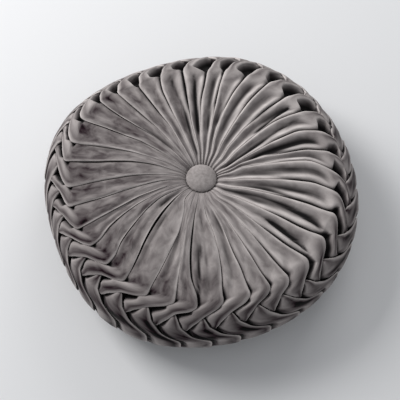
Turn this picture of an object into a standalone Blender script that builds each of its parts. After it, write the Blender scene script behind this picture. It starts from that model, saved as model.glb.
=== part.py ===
"""Round pleated cushion: a filled cover gathered under a centre button, with a plaited side.

The cover is one cloth. Knife pleats fan out from the button, turn over the rim and are
plaited down the side, where every fold leans one way, is tucked, and leans back.
Each pleat is a leaf of cloth between two root lines: it rises from the left root,
crowns, folds over the right root and returns under itself. The leaves share their
roots, so they close into one filled solid.

Metres, +Z up. The origin is on the surface that the cushion rests on, below its middle.
"""

import math

import bmesh
import bpy
import numpy as np

MM = 0.001

# Overall sizes
RADIUS = 190 * MM
SIDE_REACH = 41 * MM
SIDE_HALF_HEIGHT = 46.7 * MM
REST_DEPTH = 47.5 * MM
FACE_RADIUS = RADIUS - SIDE_REACH
MIDDLE_RUN = FACE_RADIUS + SIDE_REACH * math.pi / 2

# The centre button's half section, as heights over the cushion's middle, top to bottom
BUTTON_SECTION = (
    # radius, height
    (0.0, 49.6),
    (6.0, 49.3),
    (11.0, 48.4),
    (15.0, 46.9),
    (17.4, 45.2),
    (18.0, 44.1),
    (17.2, 43.4),
    (12.0, 39.4),
    (0.0, 39.0),
)
BUTTON_STEPS = 40

# Runs, measured along the cloth from the middle of a face, where the side folds change
APEX_RUN = 163 * MM
TUCK_RUN = 182 * MM

# Width at which a leaf has risen out of a tuck
LEAF_RISE = 9 * MM

# Points this close are one point
WELD = 0.01 * MM

# Height above the cushion's middle for each radius, over the top face
FACE_SECTION = (
    # radius, height
    (0, 38.5),
    (13, 38.5),
    (18, 42.8),
    (21, 45.4),
    (30, 48.6),
    (50, 51.4),
    (80, 52.2),
    (110, 50.6),
    (130, 48.6),
    (142, 47.2),
    (149, 46.7),
)

# Depth below the cushion's middle for each radius, over the back, flat where it rests
BACK_SECTION = (
    # radius, depth
    (0, 41.0),
    (10, 41.0),
    (25, 44.8),
    (45, 47.5),
    (142, 47.5),
    (149, 46.7),
)

# How far the outline strays from a circle
OUT_OF_ROUND = (
    # waves round the rim, cosine, sine
    (1, 0.0, 1.9),
    (2, 0.5, 0.4),
    (3, -0.5, 1.9),
    (4, -0.9, -3.5),
    (5, 0.4, 0.9),
)

# How far the slip of the cloth at the rim, the apexes and the tucks reaches
SLIP_REACH = (
    # run, share of the slip at the rim, at the apexes, at the tucks
    (120.0, 0.0, 0.0, 0.0),
    (150.0, 1.0, 0.0, 0.0),
    (156.0, 1.0, 0.0, 0.0),
    (163.0, 0.0, 1.0, 0.0),
    (166.0, 0.0, 1.0, 0.0),
    (180.0, 0.0, 0.0, 1.0),
    (190.0, 0.0, 0.0, 1.0),
    (213.4, 0.0, 0.0, 0.0),
)

# One row a pleat, in degrees round the cushion: its corner at the rim, the tip where it is
# tucked on the side, and its fold at five radii on the face
PLEAT_RADII = (30, 50, 75, 100, 125)
PLEATS = (
    # rim, tip, at 30, at 50, at 75, at 100, at 125
    (3.5, -8.9, 8.3, 13.4, 12.0, 11.0, 9.9),
    (13.5, 1.5, 14.0, 19.0, 18.8, 17.2, 16.3),
    (24.0, 11.8, 20.5, 24.6, 27.2, 28.2, 28.2),
    (36.0, 25.0, 33.0, 38.6, 40.0, 40.2, 38.8),
    (46.5, 37.0, 45.5, 50.4, 51.0, 49.6, 48.3),
    (57.5, 45.5, 58.0, 61.2, 61.3, 60.8, 59.5),
    (68.0, 56.5, 68.0, 73.0, 73.6, 72.2, 70.4),
    (79.0, 67.5, 78.0, 79.5, 80.0, 79.8, 79.7),
    (87.0, 76.0, 87.5, 89.5, 90.5, 90.0, 88.2),
    (98.7, 87.5, 95.0, 98.0, 99.2, 98.9, 98.6),
    (109.8, 98.8, 108.2, 110.5, 111.5, 111.8, 111.8),
    (121.7, 109.0, 120.0, 119.5, 119.2, 120.4, 120.9),
    (131.9, 118.5, 129.0, 128.8, 129.2, 130.3, 131.0),
    (140.0, 127.5, 137.3, 136.0, 137.0, 139.0, 140.0),
    (151.0, 138.0, 147.0, 146.5, 147.0, 148.9, 150.0),
    (163.0, 147.0, 156.0, 157.0, 158.6, 160.3, 161.8),
    (172.0, 156.5, 166.0, 165.0, 166.5, 169.0, 171.0),
    (184.8, 166.3, 177.0, 178.0, 179.5, 181.5, 183.0),
    (193.6, 179.1, 187.0, 188.0, 190.6, 192.3, 193.3),
    (204.8, 189.7, 198.5, 199.2, 200.2, 202.4, 203.8),
    (214.5, 200.5, 205.0, 204.8, 205.9, 208.2, 211.1),
    (225.8, 211.0, 211.5, 210.4, 214.0, 218.5, 222.2),
    (236.2, 220.9, 222.0, 224.0, 227.5, 231.3, 234.7),
    (247.7, 231.4, 236.0, 247.0, 250.5, 249.4, 248.4),
    (259.2, 242.9, 251.0, 253.5, 255.5, 257.5, 258.6),
    (268.3, 254.1, 261.4, 261.0, 261.5, 262.5, 264.5),
    (279.2, 264.8, 274.0, 276.0, 280.6, 281.4, 280.5),
    (290.8, 275.2, 281.6, 288.6, 290.2, 290.2, 291.0),
    (299.4, 286.0, 289.0, 295.2, 297.9, 298.6, 299.0),
    (307.7, 296.9, 300.0, 306.6, 307.6, 307.8, 307.8),
    (319.0, 308.0, 307.3, 313.5, 315.7, 316.8, 317.8),
    (331.3, 317.9, 319.0, 325.5, 328.4, 329.7, 330.1),
    (343.3, 329.7, 336.0, 341.5, 344.0, 344.3, 344.3),
    (353.9, 340.0, 352.5, 355.6, 356.6, 357.1, 356.9),
)

# How each pleat lies on the side: how far it is drawn down, and how wide its pocket gapes
SIDE_FOLDS = (
    # mm slipped down at the rim, apex and tuck, degrees from the corner to the pocket's far
    # side, run where the pocket ends; one row a pleat, as above
    (4.0, 4.0, -6.0, 4.0, 182),
    (2.0, 3.5, -7.0, 1.2, 182),
    (4.0, 4.0, -6.0, 3.6, 184),
    (0.0, 4.0, -3.0, 4.6, 184),
    (-3.0, 3.0, 0.0, 3.6, 184),
    (0.0, 4.0, 0.0, 1.0, 184),
    (-3.5, 4.0, 0.0, 4.0, 182),
    (-3.5, 4.0, 0.0, 1.0, 182),
    (-3.5, 3.0, 0.0, 5.5, 182),
    (4.0, 6.0, 0.0, 2.8, 186),
    (3.0, 6.0, 0.0, 3.0, 188),
    (-2.0, 4.0, 0.0, 0.0, 184),
    (2.5, 5.0, 0.0, -0.5, 182),
    (4.5, 6.0, 0.0, -0.5, 184),
    (2.5, 5.0, -1.0, 0.0, 180),
    (-2.0, 1.0, -3.0, -2.0, 171),
    (2.5, 1.5, -2.5, -3.0, 170),
    (1.0, 1.1, 1.5, -3.0, 170),
    (4.0, 4.0, 4.0, -3.0, 170),
    (3.0, 3.5, 6.0, -3.0, 170),
    (-3.0, -2.0, 4.0, -4.0, 168),
    (-6.5, -5.5, 0.0, -6.0, 162),
    (-6.0, -5.4, -2.0, -6.0, 162),
    (-4.0, -3.5, -1.0, -4.5, 163),
    (-2.5, -1.5, 4.0, -4.0, 164),
    (2.0, 3.0, 5.0, -3.0, 165),
    (-1.0, 1.0, 3.0, -2.5, 165),
    (-0.5, 1.5, 3.0, -2.0, 165),
    (0.5, 2.5, 4.0, -2.0, 165),
    (2.0, 4.0, 5.0, -1.0, 166),
    (1.0, 3.0, 4.0, 1.0, 170),
    (2.0, 3.0, 2.0, 2.0, 172),
    (4.0, 4.0, -1.0, 2.5, 176),
    (4.0, 4.5, -4.0, 3.0, 178),
)

# A root line's way down the side: the share of the turn from rim to tip at each run
RIM_TO_TUCK = (
    # run, share of the turn from rim to tip on the near side, the same on the far side
    (150.0, 0.10, 0.14),
    (154.2, 0.135, 0.26),
    (157.0, 0.285, 0.36),
    (159.8, 0.495, 0.46),
    (162.5, 0.68, 0.55),
    (166.0, 0.84, 0.66),
    (171.8, 1.04, 0.86),
    (182.0, 1.20, 1.20),
)
# The middle of the far side, where the folds lean over the rim in a straight line
FAR_SIDE = math.radians(70)

# The second root line, from the apex under the upper fold to the tuck
APEX_TO_TUCK = (
    # run, share
    (163.0, 0.0),
    (168.0, 0.20),
    (174.0, 0.52),
    (182.0, 1.0),
)

# From the tuck down to the corner at mid-height, in degrees back the other way
TUCK_TO_MIDDLE = (
    # run, degrees
    (182.0, 0.0),
    (187.0, 1.9),
    (192.5, 4.2),
    (199.5, 8.9),
    (202.5, 10.6),
    (206.5, 11.2),
    (213.4, 11.3),
    (220.0, 11.3),
)

# How deep the roots lie under the crowns, and how far a fold stands over its root
FOLD_SIZES = (
    # run, depth, overhang
    (10, 0.0, 0.0),
    (13, 0.0, 0.0),
    (18, 2.4, 0.3),
    (30, 4.0, 0.6),
    (50, 5.6, 1.0),
    (75, 7.0, 1.4),
    (125, 9.0, 2.4),
    (150, 10.5, 3.6),
    (158, 12.0, 5.0),
    (166, 12.5, 5.5),
    (178, 12.0, 5.5),
    (186, 10.5, 4.5),
    (192, 7.0, 3.5),
    (200, 5.5, 2.5),
    (214, 5.0, 1.6),
)

# The pocket beside the left root of a leaf of the plait
PLAIT_POCKETS = (
    # run, share open, mm to its far side
    (158, 1.0, 13.5),
    (172, 1.0, 12.5),
    (182, 0.9, 10.0),
    (190, 0.4, 6.0),
    (195, 0.1, 5.0),
    (203, 0.8, 5.0),
    (226, 0.8, 5.0),
)
# The pocket beside the left root of a pleat, past the rim
POCKET_START = 150 * MM
POCKET_FADE = 6 * MM
BACK_POCKET_END = 171 * MM
CREASE_WIDTH = 1.0 * MM
POCKET_CLOSES = 14 * MM
FAR_SHARE = 0.28
LEAST_FAR_SHARE = 0.12
MOST_FAR_SHARE = 0.7
NO_WIDTH = math.radians(0.01)

# A leaf's cross-section, from its left root over its crown to its fold. Beside a pocket a
# point's share of the width is one part of the way to the pocket's far side and another
# part of the way on to the fold.
FACE_LEAF = (
    # share of width, part to the far side, part beyond it, rise, rise beside a pocket, lean
    (0.0, 0.0, 0.0, 0.0, 0.0, 0.0),
    (0.11, 0.8, 0.0, 0.80, 0.12, 0.0),
    (0.36, 1.0, 0.14, 0.72, 0.84, 0.1),
    (0.80, 1.0, 0.72, 1.0, 1.0, 0.5),
    (1.0, 1.0, 1.0, 0.84, 0.86, 1.0),
)
PLAIT_LEAF = (
    # share of width, part to the far side, part beyond it, rise, rise beside a pocket, lean
    (0.0, 0.0, 0.0, 0.0, 0.0, 0.0),
    (0.28, 0.9, 0.0, 0.80, 0.24, 0.1),
    (0.74, 1.0, 0.55, 1.0, 1.0, 0.5),
    (1.0, 1.0, 1.0, 0.84, 0.86, 1.0),
)
BACK_LEAF = (
    # share of width, part to the far side, part beyond it, rise, rise beside a pocket, lean
    (0.0, 0.0, 0.0, 0.0, 0.0, 0.0),
    (0.34, 1.0, 0.08, 1.0, 0.82, 0.1),
    (0.78, 1.0, 0.70, 1.0, 1.0, 0.45),
    (1.0, 1.0, 1.0, 0.80, 0.86, 1.0),
)
# The cloth under the fold, halfway back to the right root
UNDERSIDE_SHARE = 0.5
UNDERSIDE_RISE = 0.44

# Rows of each kind of leaf, as runs from the middle of its own face
FACE_ROWS = (13, 20, 32, 55, 85, 115, 140, 152, 156, 159.5, 163, 168, 175, 182)
UPPER_PLAIT_ROWS = (163, 168, 175, 182, 190, 198, 206, MIDDLE_RUN / MM)
LOWER_PLAIT_ROWS = (163, 172, 182, 191, 202)
BACK_ROWS = (10, 25, 45, 142, 153, 159, 163, 172, 182)

VELVET_COLOUR = (0.205, 0.183, 0.173, 1.0)
VELVET_ROUGHNESS = 0.85


def clear_scene():
    for item in list(bpy.data.objects):
        bpy.data.objects.remove(item, do_unlink=True)


def column(table, index):
    return np.array([row[index] for row in table], float)


def smooth_path(at, knots, values):
    """A smooth curve through the knots, with no swing past any of them."""
    knots, values = np.asarray(knots, float), np.asarray(values, float)
    steps = np.diff(knots)
    rises = np.diff(values) / steps
    same_way = rises[:-1] * rises[1:] > 0
    sums = np.where(same_way, rises[:-1] + rises[1:], 1.0)
    inner = np.where(same_way, 2 * rises[:-1] * rises[1:] / sums, 0.0)
    slopes = np.concatenate([rises[:1], inner, rises[-1:]])
    at = np.clip(at, knots[0], knots[-1])
    span = np.clip(np.searchsorted(knots, at, side="right") - 1, 0, len(steps) - 1)
    share = (at - knots[span]) / steps[span]
    rest = 1.0 - share
    return (
        rest * rest * (1 + 2 * share) * values[span]
        + share * share * (1 + 2 * rest) * values[span + 1]
        + rest * rest * share * steps[span] * slopes[span]
        - share * share * rest * steps[span] * slopes[span + 1]
    )


def smooth_step(share):
    share = np.clip(share, 0.0, 1.0)
    return share * share * (3 - 2 * share)


def section_point(run, back):
    """Radius and height over the cushion's middle, for a run from a face's middle."""
    run = np.asarray(run, float)
    table = BACK_SECTION if back else FACE_SECTION
    on_face = smooth_path(run, column(table, 0) * MM, column(table, 1) * MM)
    turn = np.maximum(run - FACE_RADIUS, 0.0) / SIDE_REACH
    radius = np.minimum(run, FACE_RADIUS) + SIDE_REACH * np.sin(turn)
    height = np.where(run < FACE_RADIUS, on_face, SIDE_HALF_HEIGHT * np.cos(turn))
    return radius, -height if back else height


def outline_shift(angle):
    return sum(
        MM * (cosine * np.cos(waves * angle) + sine * np.sin(waves * angle))
        for waves, cosine, sine in OUT_OF_ROUND
    )


def round_the_rim(angle, values):
    """A smooth curve round the cushion through one value for each pleat, at its corner."""
    corners = column(PLEATS, 0)
    knots = np.concatenate([corners[-1:] - 360.0, corners, corners[:1] + 360.0])
    return smooth_path(np.degrees(angle) % 360.0, knots, np.concatenate([values[-1:], values, values[:1]]))


def slipped(angle, run):
    """The run after the cloth has slipped up or down the side at this angle."""
    slip = 0.0
    for i in (1, 2, 3):
        share = smooth_path(run, column(SLIP_REACH, 0) * MM, column(SLIP_REACH, i))
        slip = slip + share * round_the_rim(angle, column(SIDE_FOLDS, i - 1))
    return run + MM * slip


def place(angle, run, sunk, back):
    """The point at this angle and run, sunk below the cushion's outer surface."""
    reach = 0.2 * MM
    run = run if back else slipped(angle, run)
    radius, height = section_point(run, back)
    radius_on, height_on = section_point(run + reach, back)
    radius_off, height_off = section_point(run - reach, back)
    along_r, along_z = radius_on - radius_off, height_on - height_off
    length = np.hypot(along_r, along_z)
    side = 1.0 if back else -1.0
    radius = radius - sunk * side * along_z / length
    height = height + sunk * side * along_r / length
    radius = radius + outline_shift(angle) * smooth_step(radius / FACE_RADIUS)
    return np.stack(
        [radius * np.cos(angle), radius * np.sin(angle), height + REST_DEPTH], axis=-1
    )


def far_side(angle):
    """1 on the far side, 0 elsewhere: there the folds turn less sharply."""
    return smooth_step(3.0 * (np.cos(angle - FAR_SIDE) - 0.05))


def pleat(number):
    """The table's row for this pleat, in degrees, counted on past a full turn."""
    turns, row = divmod(number, len(PLEATS))
    return np.array(PLEATS[row]) + 360.0 * turns


def overhang(run):
    """How far a fold stands over its root."""
    return smooth_path(run, column(FOLD_SIZES, 0) * MM, column(FOLD_SIZES, 2) * MM)


def upper_root(number, run, back):
    """Angle of the root line under a pleat's fold, from the face down to its tuck."""
    rim, tip, *folds = pleat(number)
    share_runs, near, far = (column(RIM_TO_TUCK, i) for i in range(3))
    shares = near + (far - near) * (0.0 if back else far_side(np.radians(rim)))
    if back:
        face_runs, face_angles = [0.0, 60.0], [rim, rim]
    else:
        radii = np.array(PLEAT_RADII) * MM
        roots = folds - np.degrees(overhang(radii) / radii)
        face_runs, face_angles = [0.0, *PLEAT_RADII], [roots[0], *roots]
    knots = np.concatenate([face_runs, share_runs]) * MM
    angles = np.concatenate([face_angles, rim + shares * (tip - rim)])
    return np.radians(smooth_path(run, knots, angles))


def apex_root(number, run, back):
    """Angle of the root line from the apex between two pleats to this pleat's tuck."""
    apex = upper_root(number - 1, np.array([APEX_RUN]), back)[0]
    tuck = upper_root(number, np.array([TUCK_RUN]), back)[0]
    share = smooth_path(run, column(APEX_TO_TUCK, 0) * MM, column(APEX_TO_TUCK, 1))
    return apex + share * (tuck - apex)


def middle_root(number, run, back):
    """Angle of the root line from a tuck to the corner at mid-height."""
    tuck = upper_root(number, np.array([TUCK_RUN]), back)[0]
    lean = smooth_path(run, column(TUCK_TO_MIDDLE, 0) * MM, column(TUCK_TO_MIDDLE, 1))
    return tuck + np.radians(lean)


def face_leaf_roots(number, run, back):
    """Left and right root angles of a pleat that runs from a face to its tuck."""
    left = np.where(
        run <= APEX_RUN,
        upper_root(number - 1, run, back),
        apex_root(number, run, back),
    )
    return left, upper_root(number, run, back)


def plait_leaf_roots(number, run, back):
    """Left and right root angles of a leaf of the plait, from its apex to mid-height."""
    left = np.where(
        run <= TUCK_RUN,
        upper_root(number - 1, run, back),
        middle_root(number - 1, run, back),
    )
    right = np.where(
        run <= TUCK_RUN,
        apex_root(number, run, back),
        middle_root(number, run, back),
    )
    return left, right


def pocket_reach(number, left, right, runs, section):
    """How far the pocket beside a leaf's left root is open, and the share across it takes."""
    radius, _ = section_point(runs, section is BACK_LEAF)
    width = np.maximum(right - left, NO_WIDTH)
    opened = smooth_step((runs - POCKET_START) / POCKET_FADE)
    if section is BACK_LEAF:
        closed = smooth_step((BACK_POCKET_END - runs) / POCKET_FADE + 0.5)
        return opened * closed, np.full_like(runs, FAR_SHARE)
    if section is PLAIT_LEAF:
        at = column(PLAIT_POCKETS, 0) * MM
        pocket, far = (smooth_path(runs, at, column(PLAIT_POCKETS, i)) for i in (1, 2))
        far = far * MM / radius
    else:
        gape, last_run = SIDE_FOLDS[(number - 1) % len(PLEATS)][3:]
        crease = (overhang(runs) + CREASE_WIDTH) / radius
        wide = opened * smooth_step((last_run * MM - slipped(left, runs)) / POCKET_FADE + 0.5)
        corner = np.radians(pleat(number - 1)[0] + gape)
        far = crease + wide * np.maximum(corner - left - crease, 0.0)
        closing = np.where(runs > APEX_RUN, smooth_step(width * radius / POCKET_CLOSES), 1.0)
        pocket = opened * closing
    return pocket, np.clip(far / width, LEAST_FAR_SHARE, MOST_FAR_SHARE)


def leaf_points(roots, section, number, runs, back):
    """Rows of points across one leaf, one row a run."""
    reach = 0.5 * MM
    left, right = roots(number, runs, back)
    _, right_after = roots(number, runs + reach, back)
    _, right_before = roots(number, runs - reach, back)
    radius, _ = section_point(runs, back)
    depth = smooth_path(runs, column(FOLD_SIZES, 0) * MM, column(FOLD_SIZES, 1) * MM)
    rise = np.where(runs < APEX_RUN, 1.0, smooth_step((right - left) * radius / LEAF_RISE))
    across, down = 2 * reach, (right_before - right_after) * radius
    reach_out = rise * overhang(runs) / np.hypot(across, down)
    fold_angle = right + reach_out * across / radius
    fold_down = reach_out * down
    pocket, far = pocket_reach(number, left, right, runs, section)
    rows = []
    for share, inner, outer, plain, beside_pocket, lean in section:
        height = plain + pocket * (beside_pocket - plain)
        share = share + pocket * (inner * far + outer * (1 - far) - share)
        angle = left + share * (fold_angle - left)
        rows.append(place(angle, runs + lean * fold_down, depth * (1 - rise * height), back))
    angle = right + UNDERSIDE_SHARE * (fold_angle - right)
    run = runs + UNDERSIDE_SHARE * fold_down
    rows.append(place(angle, run, depth * (1 - rise * UNDERSIDE_RISE), back))
    rows.append(place(right, runs, depth, back))
    return np.stack(rows, axis=1)


def add_grid(mesh, points):
    """Joins the rows of points with faces."""
    corners = [[mesh.verts.new(point) for point in row] for row in points]
    for upper, lower in zip(corners, corners[1:]):
        for i in range(len(upper) - 1):
            mesh.faces.new((upper[i], lower[i], lower[i + 1], upper[i + 1]))


def close_gathers(mesh):
    """Closes the small round openings that the gathered cloth leaves on both faces."""
    edges = [edge for edge in mesh.edges if edge.is_boundary]
    discs = bmesh.ops.edgeloop_fill(mesh, edges=edges)["faces"]
    bmesh.ops.poke(mesh, faces=discs)


def velvet():
    material = bpy.data.materials.new("grey_velvet")
    material.use_nodes = True
    shader = material.node_tree.nodes["Principled BSDF"]
    shader.inputs["Base Color"].default_value = VELVET_COLOUR
    shader.inputs["Roughness"].default_value = VELVET_ROUGHNESS
    shader.inputs["Metallic"].default_value = 0.0
    return material


def finish_object(name, mesh_data, collection, material):
    item = bpy.data.objects.new(name, mesh_data)
    mesh_data.materials.append(material)
    mesh_data.shade_smooth()
    collection.objects.link(item)
    return item


def add_cushion(collection, material):
    face_rows = np.array(FACE_ROWS) * MM
    back_rows = np.array(BACK_ROWS) * MM
    upper_rows = np.array(UPPER_PLAIT_ROWS) * MM
    lower_rows = np.array(LOWER_PLAIT_ROWS) * MM
    mesh = bmesh.new()
    for number in range(len(PLEATS)):
        upper = leaf_points(plait_leaf_roots, PLAIT_LEAF, number, upper_rows, False)
        lower = leaf_points(plait_leaf_roots, PLAIT_LEAF, number, lower_rows, True)
        add_grid(mesh, leaf_points(face_leaf_roots, FACE_LEAF, number, face_rows, False))
        add_grid(mesh, np.concatenate([upper, lower[::-1]]))
        add_grid(mesh, leaf_points(face_leaf_roots, BACK_LEAF, number, back_rows, True))
    bmesh.ops.remove_doubles(mesh, verts=mesh.verts, dist=WELD)
    close_gathers(mesh)
    bmesh.ops.recalc_face_normals(mesh, faces=mesh.faces)
    data = bpy.data.meshes.new("cushion")
    mesh.to_mesh(data)
    mesh.free()
    return finish_object("cushion", data, collection, material)


def add_button(collection, material):
    """A covered button: its half section turned about the upright axis."""
    data = bpy.data.meshes.new("centre_button")
    corners = [(radius * MM, 0.0, REST_DEPTH + height * MM) for radius, height in BUTTON_SECTION]
    data.from_pydata(corners, [(i, i + 1) for i in range(len(corners) - 1)], [])
    button = finish_object("centre_button", data, collection, material)
    turn = button.modifiers.new("turn", "SCREW")
    turn.steps = BUTTON_STEPS
    turn.render_steps = BUTTON_STEPS
    turn.use_merge_vertices = True
    turn.merge_threshold = WELD
    turn.use_smooth_shade = True
    return button


def main():
    clear_scene()
    collection = bpy.data.collections.new("round_pleated_cushion")
    bpy.context.scene.collection.children.link(collection)
    material = velvet()
    add_cushion(collection, material)
    add_button(collection, material)


main()
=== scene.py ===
# %% [markdown]
# A round pleated cushion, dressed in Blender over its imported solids.
# The real cushion is one length of velvet. Its pleats fan out from a covered button, turn
# over the rim and are plaited down the side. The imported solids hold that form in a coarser
# mesh. This script lays the same cloth out again with fine faces, small creases and a nap,
# and the solids stay behind for collision.

import math

import bmesh
import bpy
import numpy as np
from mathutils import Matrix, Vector


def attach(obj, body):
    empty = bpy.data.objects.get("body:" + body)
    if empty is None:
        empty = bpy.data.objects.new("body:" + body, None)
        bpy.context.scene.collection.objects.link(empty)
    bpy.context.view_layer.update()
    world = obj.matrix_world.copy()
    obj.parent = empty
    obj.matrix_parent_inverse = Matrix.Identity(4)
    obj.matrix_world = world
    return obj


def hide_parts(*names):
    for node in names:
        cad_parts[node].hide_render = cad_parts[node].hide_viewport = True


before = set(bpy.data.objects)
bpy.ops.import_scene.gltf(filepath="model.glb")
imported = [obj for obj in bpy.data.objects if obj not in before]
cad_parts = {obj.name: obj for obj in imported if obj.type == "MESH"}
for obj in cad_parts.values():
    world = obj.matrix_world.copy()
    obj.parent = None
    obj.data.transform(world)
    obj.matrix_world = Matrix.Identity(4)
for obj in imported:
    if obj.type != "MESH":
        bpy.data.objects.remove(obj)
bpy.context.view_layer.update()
MM = 0.001
print("solids:", sorted(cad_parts))

# %% [markdown]
# The camera comes first. The photograph looks steeply down at the face. Its angle was found
# from the outline: a round cushion of known thickness gives one ellipse for each elevation. A
# long lens a metre away keeps the near and the far rim at almost the same scale, as in the
# photograph.

# %% Camera at the photograph's angle
SIDE_MIDDLE = 47.5 * MM
CAMERA_ELEVATION = math.radians(64.45)
CAMERA_DISTANCE = 1.0
CAMERA_LENS = 74.09
FRAME_SHIFT = (-0.0032, -0.0140)


def add_object(name, data):
    item = bpy.data.objects.new(name, data)
    bpy.context.scene.collection.objects.link(item)
    return item


def looking(direction):
    """The turn that points a camera or a lamp this way, with its top up."""
    return direction.to_track_quat("-Z", "Y").to_euler()


def add_camera():
    data = bpy.data.cameras.new("view_from_the_front")
    data.lens = CAMERA_LENS
    data.shift_x, data.shift_y = FRAME_SHIFT
    camera = add_object("view_from_the_front", data)
    back = Vector((0.0, -math.cos(CAMERA_ELEVATION), math.sin(CAMERA_ELEVATION)))
    camera.location = Vector((0.0, 0.0, SIDE_MIDDLE)) + back * CAMERA_DISTANCE
    camera.rotation_euler = looking(-back)
    bpy.context.scene.camera = camera
    return camera


print("camera at", [round(value, 3) for value in add_camera().location])

# %% [markdown]
# The light is a plain studio: one large soft lamp at the upper left, behind the cushion, a
# weaker one straight behind, which brightens the far pleats, a wide weak one over the
# camera, and a pale room. Velvet shows its folds only when one side is clearly brighter,
# so the fill stays low. The floor is a plain pale sheet.

# %% Floor and lamps
FLOOR_SIDE = 6.0
PALE_PAPER = {"Base Color": (0.74, 0.74, 0.745, 1.0), "Roughness": 0.9}
ROOM_LIGHT = {"Color": (0.93, 0.96, 1.0, 1.0), "Strength": 0.38}
LAMPS = (
    # name, place, side of the lamp, power in watts
    ("key_lamp", (-1.55, 0.95, 1.35), 1.10, 45.0),
    ("back_lamp", (0.70, 1.80, 1.20), 1.20, 13.0),
    ("fill_lamp", (0.3, -1.6, 1.8), 1.6, 2.0),
)


def set_inputs(node, inputs):
    """Each input takes a plain value, or a link from another node's output."""
    for name, given in inputs.items():
        if isinstance(given, bpy.types.NodeSocket):
            node.id_data.links.new(given, node.inputs[name])
        else:
            node.inputs[name].default_value = given


def plain_mesh(name, mesh):
    data = bpy.data.meshes.new(name)
    mesh.to_mesh(data)
    mesh.free()
    return data


def add_floor():
    mesh = bmesh.new()
    bmesh.ops.create_grid(mesh, x_segments=1, y_segments=1, size=FLOOR_SIDE / 2)
    floor = add_object("floor", plain_mesh("floor", mesh))
    material = bpy.data.materials.new("pale_paper")
    material.use_nodes = True
    set_inputs(material.node_tree.nodes["Principled BSDF"], PALE_PAPER)
    floor.data.materials.append(material)


def add_lamp(name, spot, side, power):
    data = bpy.data.lights.new(name, "AREA")
    data.shape = "SQUARE"
    data.size = side
    data.energy = power
    lamp = add_object(name, data)
    lamp.location = spot
    lamp.rotation_euler = looking(-Vector(spot))


def set_room():
    world = bpy.data.worlds.new("room")
    world.use_nodes = True
    set_inputs(world.node_tree.nodes["Background"], ROOM_LIGHT)
    bpy.context.scene.world = world
    bpy.context.scene.view_settings.view_transform = "Standard"


add_floor()
set_room()
for lamp_row in LAMPS:
    add_lamp(*lamp_row)
print("lamps:", [row[0] for row in LAMPS])

# %% [markdown]
# The cloth is measured by its run: how far a point lies from the middle of a face, along
# the cloth. A section through the cushion then gives each run a radius and a height. The
# face has a soft crown with a dip for the button, and the side is close to a half circle.
# One smooth curve through a few knots does this, and it never swings past a knot, so the
# part of the back that rests stays level. The cushion isn't quite round either, so a few
# slow waves are added to its outline. All the tables are in millimetres and degrees.

# %% Sizes and the section through the cushion
RADIUS = 190 * MM
SIDE_REACH = 41 * MM
SIDE_HALF_HEIGHT = 46.7 * MM
FACE_RADIUS = RADIUS - SIDE_REACH
MIDDLE_RUN = FACE_RADIUS + SIDE_REACH * math.pi / 2
FACE_SECTION = (
    # run, height over the middle
    (0, 38.5),
    (13, 38.5),
    (18, 42.8),
    (21, 45.4),
    (30, 48.6),
    (50, 51.4),
    (80, 52.2),
    (110, 50.6),
    (130, 48.6),
    (142, 47.2),
    (149, 46.7),
)
BACK_SECTION = (
    # run, depth below the middle
    (0, 41.0),
    (10, 41.0),
    (22, 44.0),
    (36, 46.8),
    (45, 47.5),
    (142, 47.5),
    (149, 46.7),
)
OUT_OF_ROUND = (
    # waves round the rim, cosine, sine
    (1, 0.0, 1.9),
    (2, 0.5, 0.4),
    (3, -0.5, 1.9),
    (4, -0.9, -3.5),
    (5, 0.4, 0.9),
)


def column(table, index):
    return np.array([row[index] for row in table], float)


def curve_shares(share):
    """How much a cubic takes of its start, its end, and the slope at each."""
    rest = 1.0 - share
    return (
        rest * rest * (1 + 2 * share),
        share * share * (1 + 2 * rest),
        rest * rest * share,
        -share * share * rest,
    )


def smooth_path(at, knots, values):
    """A smooth curve through the knots, with no swing past any of them."""
    knots, values = np.asarray(knots, float), np.asarray(values, float)
    steps = np.diff(knots)
    rises = np.diff(values) / steps
    same_way = rises[:-1] * rises[1:] > 0
    sums = np.where(same_way, rises[:-1] + rises[1:], 1.0)
    inner = np.where(same_way, 2 * rises[:-1] * rises[1:] / sums, 0.0)
    slopes = np.concatenate([rises[:1], inner, rises[-1:]])
    at = np.clip(at, knots[0], knots[-1])
    span = np.clip(np.searchsorted(knots, at, side="right") - 1, 0, len(steps) - 1)
    start, end, leave, arrive = curve_shares((at - knots[span]) / steps[span])
    straight = start * values[span] + end * values[span + 1]
    return straight + leave * steps[span] * slopes[span] + arrive * steps[span] * slopes[span + 1]


def smooth_step(share):
    share = np.clip(share, 0.0, 1.0)
    return share * share * (3 - 2 * share)


def at_run(table, run, index=1, unit=1.0):
    """A column of a table, read at these runs. The first column holds its own runs."""
    return smooth_path(run, column(table, 0) * MM, column(table, index) * unit)


def section_point(run, back):
    """Radius and height over the cushion's middle, for a run from a face's middle."""
    run = np.asarray(run, float)
    on_face = at_run(BACK_SECTION if back else FACE_SECTION, run, unit=MM)
    turn = np.maximum(run - FACE_RADIUS, 0.0) / SIDE_REACH
    radius = np.minimum(run, FACE_RADIUS) + SIDE_REACH * np.sin(turn)
    height = np.where(run < FACE_RADIUS, on_face, SIDE_HALF_HEIGHT * np.cos(turn))
    return radius, -height if back else height


def outline_shift(angle):
    return sum(
        MM * (cosine * np.cos(waves * angle) + sine * np.sin(waves * angle))
        for waves, cosine, sine in OUT_OF_ROUND
    )


print("from the middle of a face to mid-height:", round(MIDDLE_RUN / MM, 1), "mm of cloth")

# %% [markdown]
# Every pleat is a leaf of cloth between two root lines, the lines where it is sewn down.
# The first table holds one row for each pleat, as the cloth was really folded, because even
# pleats would look machine made. The second says how far the sewing drew each pleat up or
# down the side, and how far the pocket under it reaches.

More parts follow.
